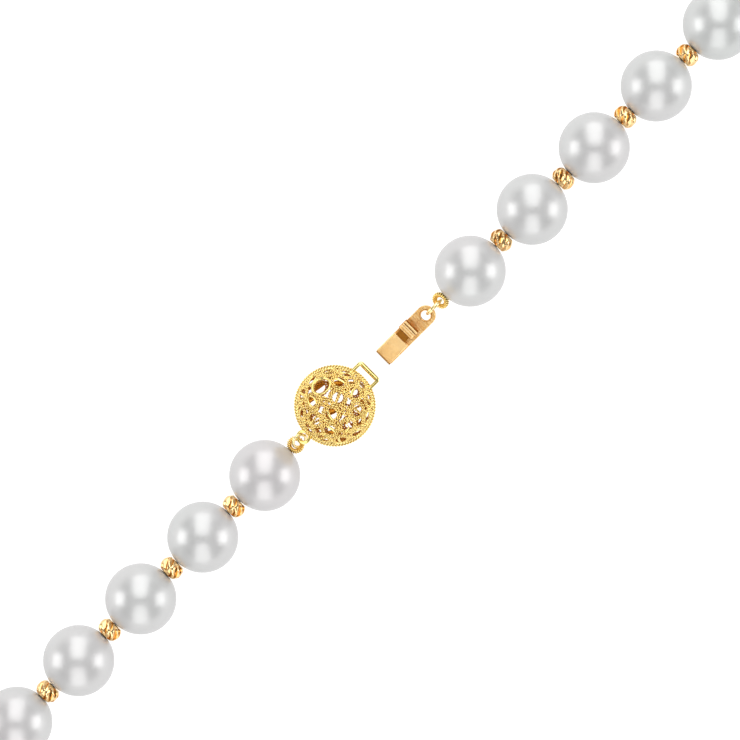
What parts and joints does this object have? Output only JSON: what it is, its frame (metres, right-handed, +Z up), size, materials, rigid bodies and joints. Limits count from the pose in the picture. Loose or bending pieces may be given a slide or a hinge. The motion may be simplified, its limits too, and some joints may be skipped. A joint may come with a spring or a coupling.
{
  "type": "pearl necklace",
  "caption": "Round pearl necklace with gold spacer beads, lying in an open oval, with its filigree ball clasp undone and the spring tongue out.",
  "frame": {"origin": "on the table, under the middle of the bounding box of the necklace as it lies", "axes": "+X runs along the clasp stretch from the ball to the tongue, +Y points from the clasp to the back of the oval, +Z is up from the table"},
  "size_m": [0.1918, 0.0898, 0.009],
  "materials": {
    "nacre": "lustrous white nacre of a cultured pearl",
    "cut_gold": "diamond-cut 14k yellow gold, bright facets",
    "wire_gold": "twisted and polished 14k yellow gold wire",
    "satin_gold": "satin 14k yellow gold sheet",
    "silk": "twisted white silk thread"
  },
  "bodies": {
    "root": {"strand_section_06": "nacre"},
    "tongue_leaf": {"tongue_leaf": "satin_gold"},
    "tongue": {"tongue_base": "satin_gold"},
    "jump_ring_right": {"jump_ring_right": "wire_gold"},
    "wire_loop_right": {"wire_loop_right": "wire_gold"},
    "ball": {"ball_ring": "wire_gold", "filigree_dome_upper": "wire_gold", "filigree_dome_lower": "wire_gold", "seam_band": "wire_gold", "slot_plate": "wire_gold", "keeper_frame": "wire_gold"},
    "jump_ring_left": {"jump_ring_left": "wire_gold"},
    "wire_loop_left": {"wire_loop_left": "wire_gold"},
    "pearl_right_1": {"pearl_right_1": "nacre", "silk_right_1": "silk"},
    "spacer_right_1": {"spacer_right_1": "cut_gold"},
    "pearl_right_2": {"pearl_right_2": "nacre", "silk_right_2": "silk"},
    "spacer_right_2": {"spacer_right_2": "cut_gold"},
    "pearl_right_3": {"pearl_right_3": "nacre", "silk_right_3": "silk"},
    "spacer_right_3": {"spacer_right_3": "cut_gold"},
    "pearl_right_4": {"pearl_right_4": "nacre", "silk_right_4": "silk"},
    "spacer_right_4": {"spacer_right_4": "cut_gold"},
    "pearl_right_5": {"pearl_right_5": "nacre", "silk_right_5": "silk"},
    "spacer_right_5": {"spacer_right_5": "cut_gold"},
    "pearl_left_1": {"pearl_left_1": "nacre", "silk_left_1": "silk"},
    "spacer_left_1": {"spacer_left_1": "cut_gold"},
    "pearl_left_2": {"pearl_left_2": "nacre", "silk_left_2": "silk"},
    "spacer_left_2": {"spacer_left_2": "cut_gold"},
    "pearl_left_3": {"pearl_left_3": "nacre", "silk_left_3": "silk"},
    "spacer_left_3": {"spacer_left_3": "cut_gold"},
    "pearl_left_4": {"pearl_left_4": "nacre", "silk_left_4": "silk"},
    "spacer_left_4": {"spacer_left_4": "cut_gold"},
    "pearl_left_5": {"pearl_left_5": "nacre", "silk_left_5": "silk"},
    "spacer_left_5": {"spacer_left_5": "cut_gold"},
    "strand_section_05": {"strand_section_05": "nacre"},
    "strand_section_04": {"strand_section_04": "nacre"},
    "strand_section_03": {"strand_section_03": "nacre"},
    "strand_section_02": {"strand_section_02": "nacre"},
    "strand_section_01": {"strand_section_01": "nacre"},
    "strand_section_07": {"strand_section_07": "nacre"},
    "strand_section_08": {"strand_section_08": "nacre"},
    "strand_section_09": {"strand_section_09": "nacre"},
    "strand_section_10": {"strand_section_10": "nacre"},
    "strand_section_11": {"strand_section_11": "nacre"}
  },
  "joints": [
    {"name": "tongue_leaf_press", "type": "hinge", "parent": "tongue", "child": "tongue_leaf", "pos_m": [0.00261, -0.04019, 0.00063], "axis": [0, 1, 0], "range_deg": [0, 9], "stiffness_Nm_per_rad": 0.07},
    {"name": "tongue_swing", "type": "hinge", "parent": "jump_ring_right", "child": "tongue", "pos_m": [0.0108, -0.04019, 0.00272], "axis": [0, 1, 0], "range_deg": [0, 50]},
    {"name": "jump_ring_right_swing", "type": "hinge", "parent": "wire_loop_right", "child": "jump_ring_right", "pos_m": [0.01181, -0.04019, 0.00337], "axis": [-0.6428, 0, 0.766], "range_deg": [-40, 40]},
    {"name": "wire_loop_right_bend", "type": "hinge", "parent": "pearl_right_1", "child": "wire_loop_right", "pos_m": [0.01256, -0.04019, 0.004], "axis": [0, 1, 0], "range_deg": [0, 40]},
    {"name": "ball_swing", "type": "hinge", "parent": "jump_ring_left", "child": "ball", "pos_m": [-0.01095, -0.04019, 0.00417], "axis": [0, -1, 0], "range_deg": [0, 40]},
    {"name": "jump_ring_left_swing", "type": "hinge", "parent": "wire_loop_left", "child": "jump_ring_left", "pos_m": [-0.01159, -0.04019, 0.00386], "axis": [-0.1392, 0, -0.9903], "range_deg": [-35, 35]},
    {"name": "wire_loop_left_bend", "type": "hinge", "parent": "pearl_left_1", "child": "wire_loop_left", "pos_m": [-0.01256, -0.04019, 0.004], "axis": [0, -1, 0], "range_deg": [0, 25]},
    {"name": "pearl_right_1_bend", "type": "hinge", "parent": "spacer_right_1", "child": "pearl_right_1", "pos_m": [0.02056, -0.04019, 0.004], "axis": [0, 0, 1], "range_deg": [-8, 8]},
    {"name": "spacer_right_1_bend", "type": "hinge", "parent": "pearl_right_2", "child": "spacer_right_1", "pos_m": [0.02256, -0.04019, 0.004], "axis": [0, 0, 1], "range_deg": [-8, 8]},
    {"name": "pearl_right_2_bend", "type": "hinge", "parent": "spacer_right_2", "child": "pearl_right_2", "pos_m": [0.03056, -0.04019, 0.004], "axis": [0, 0, 1], "range_deg": [-8, 8]},
    {"name": "spacer_right_2_bend", "type": "hinge", "parent": "pearl_right_3", "child": "spacer_right_2", "pos_m": [0.03256, -0.04019, 0.004], "axis": [0, 0, 1], "range_deg": [-8, 8]},
    {"name": "pearl_right_3_bend", "type": "hinge", "parent": "spacer_right_3", "child": "pearl_right_3", "pos_m": [0.04056, -0.04019, 0.004], "axis": [0, 0, 1], "range_deg": [-8, 8]},
    {"name": "spacer_right_3_bend", "type": "hinge", "parent": "pearl_right_4", "child": "spacer_right_3", "pos_m": [0.04256, -0.04019, 0.004], "axis": [0, 0, 1], "range_deg": [-8, 8]},
    {"name": "pearl_right_4_bend", "type": "hinge", "parent": "spacer_right_4", "child": "pearl_right_4", "pos_m": [0.05056, -0.04019, 0.004], "axis": [0, 0, 1], "range_deg": [-8, 8]},
    {"name": "spacer_right_4_bend", "type": "hinge", "parent": "pearl_right_5", "child": "spacer_right_4", "pos_m": [0.05256, -0.04019, 0.004], "axis": [0, 0, 1], "range_deg": [-8, 8]},
    {"name": "pearl_right_5_bend", "type": "hinge", "parent": "spacer_right_5", "child": "pearl_right_5", "pos_m": [0.06056, -0.04019, 0.004], "axis": [0, 0, 1], "range_deg": [0, 16]},
    {"name": "spacer_right_5_bend", "type": "hinge", "parent": "strand_section_01", "child": "spacer_right_5", "pos_m": [0.06254, -0.03991, 0.004], "axis": [0, 0, 1], "range_deg": [0, 16]},
    {"name": "pearl_left_1_bend", "type": "hinge", "parent": "spacer_left_1", "child": "pearl_left_1", "pos_m": [-0.02056, -0.04019, 0.004], "axis": [0, 0, -1], "range_deg": [-8, 8]},
    {"name": "spacer_left_1_bend", "type": "hinge", "parent": "pearl_left_2", "child": "spacer_left_1", "pos_m": [-0.02256, -0.04019, 0.004], "axis": [0, 0, -1], "range_deg": [-8, 8]},
    {"name": "pearl_left_2_bend", "type": "hinge", "parent": "spacer_left_2", "child": "pearl_left_2", "pos_m": [-0.03056, -0.04019, 0.004], "axis": [0, 0, -1], "range_deg": [-8, 8]},
    {"name": "spacer_left_2_bend", "type": "hinge", "parent": "pearl_left_3", "child": "spacer_left_2", "pos_m": [-0.03256, -0.04019, 0.004], "axis": [0, 0, -1], "range_deg": [-8, 8]},
    {"name": "pearl_left_3_bend", "type": "hinge", "parent": "spacer_left_3", "child": "pearl_left_3", "pos_m": [-0.04056, -0.04019, 0.004], "axis": [0, 0, -1], "range_deg": [-8, 8]},
    {"name": "spacer_left_3_bend", "type": "hinge", "parent": "pearl_left_4", "child": "spacer_left_3", "pos_m": [-0.04256, -0.04019, 0.004], "axis": [0, 0, -1], "range_deg": [-8, 8]},
    {"name": "pearl_left_4_bend", "type": "hinge", "parent": "spacer_left_4", "child": "pearl_left_4", "pos_m": [-0.05056, -0.04019, 0.004], "axis": [0, 0, -1], "range_deg": [-8, 8]},
    {"name": "spacer_left_4_bend", "type": "hinge", "parent": "pearl_left_5", "child": "spacer_left_4", "pos_m": [-0.05256, -0.04019, 0.004], "axis": [0, 0, -1], "range_deg": [-8, 8]},
    {"name": "pearl_left_5_bend", "type": "hinge", "parent": "spacer_left_5", "child": "pearl_left_5", "pos_m": [-0.06056, -0.04019, 0.004], "axis": [0, 0, -1], "range_deg": [0, 16]},
    {"name": "spacer_left_5_bend", "type": "hinge", "parent": "strand_section_11", "child": "spacer_left_5", "pos_m": [-0.06254, -0.03991, 0.004], "axis": [0, 0, -1], "range_deg": [0, 16]},
    {"name": "strand_section_05_bend", "type": "hinge", "parent": "root", "child": "strand_section_05", "pos_m": [0.01399, 0.04043, 0.004], "axis": [0, 0, 1], "range_deg": [0, 9]},
    {"name": "strand_section_04_bend", "type": "hinge", "parent": "strand_section_05", "child": "strand_section_04", "pos_m": [0.04366, 0.03615, 0.004], "axis": [0, 0, 1], "range_deg": [0, 9]},
    {"name": "strand_section_03_bend", "type": "hinge", "parent": "strand_section_04", "child": "strand_section_03", "pos_m": [0.07237, 0.02755, 0.004], "axis": [0, 0, 1], "range_deg": [0, 16]},
    {"name": "strand_section_02_bend", "type": "hinge", "parent": "strand_section_03", "child": "strand_section_02", "pos_m": [0.09104, 0.00513, 0.004], "axis": [0, 0, 1], "range_deg": [0, 16]},
    {"name": "strand_section_01_bend", "type": "hinge", "parent": "strand_section_02", "child": "strand_section_01", "pos_m": [0.08683, -0.02374, 0.004], "axis": [0, 0, 1], "range_deg": [0, 16]},
    {"name": "strand_section_07_bend", "type": "hinge", "parent": "root", "child": "strand_section_07", "pos_m": [-0.01399, 0.04043, 0.004], "axis": [0, 0, -1], "range_deg": [0, 9]},
    {"name": "strand_section_08_bend", "type": "hinge", "parent": "strand_section_07", "child": "strand_section_08", "pos_m": [-0.04366, 0.03615, 0.004], "axis": [0, 0, -1], "range_deg": [0, 9]},
    {"name": "strand_section_09_bend", "type": "hinge", "parent": "strand_section_08", "child": "strand_section_09", "pos_m": [-0.07237, 0.02755, 0.004], "axis": [0, 0, -1], "range_deg": [0, 16]},
    {"name": "strand_section_10_bend", "type": "hinge", "parent": "strand_section_09", "child": "strand_section_10", "pos_m": [-0.09104, 0.00513, 0.004], "axis": [0, 0, -1], "range_deg": [0, 16]},
    {"name": "strand_section_11_bend", "type": "hinge", "parent": "strand_section_10", "child": "strand_section_11", "pos_m": [-0.08683, -0.02374, 0.004], "axis": [0, 0, -1], "range_deg": [0, 16]}
  ],
  "couplings": [
    {"joint": "spacer_right_1_bend", "follows": "pearl_right_1_bend", "ratio": 1},
    {"joint": "spacer_right_2_bend", "follows": "pearl_right_2_bend", "ratio": 1},
    {"joint": "spacer_right_3_bend", "follows": "pearl_right_3_bend", "ratio": 1},
    {"joint": "spacer_right_4_bend", "follows": "pearl_right_4_bend", "ratio": 1},
    {"joint": "spacer_right_5_bend", "follows": "pearl_right_5_bend", "ratio": 1},
    {"joint": "spacer_left_1_bend", "follows": "pearl_left_1_bend", "ratio": 1},
    {"joint": "spacer_left_2_bend", "follows": "pearl_left_2_bend", "ratio": 1},
    {"joint": "spacer_left_3_bend", "follows": "pearl_left_3_bend", "ratio": 1},
    {"joint": "spacer_left_4_bend", "follows": "pearl_left_4_bend", "ratio": 1},
    {"joint": "spacer_left_5_bend", "follows": "pearl_left_5_bend", "ratio": 1}
  ]
}
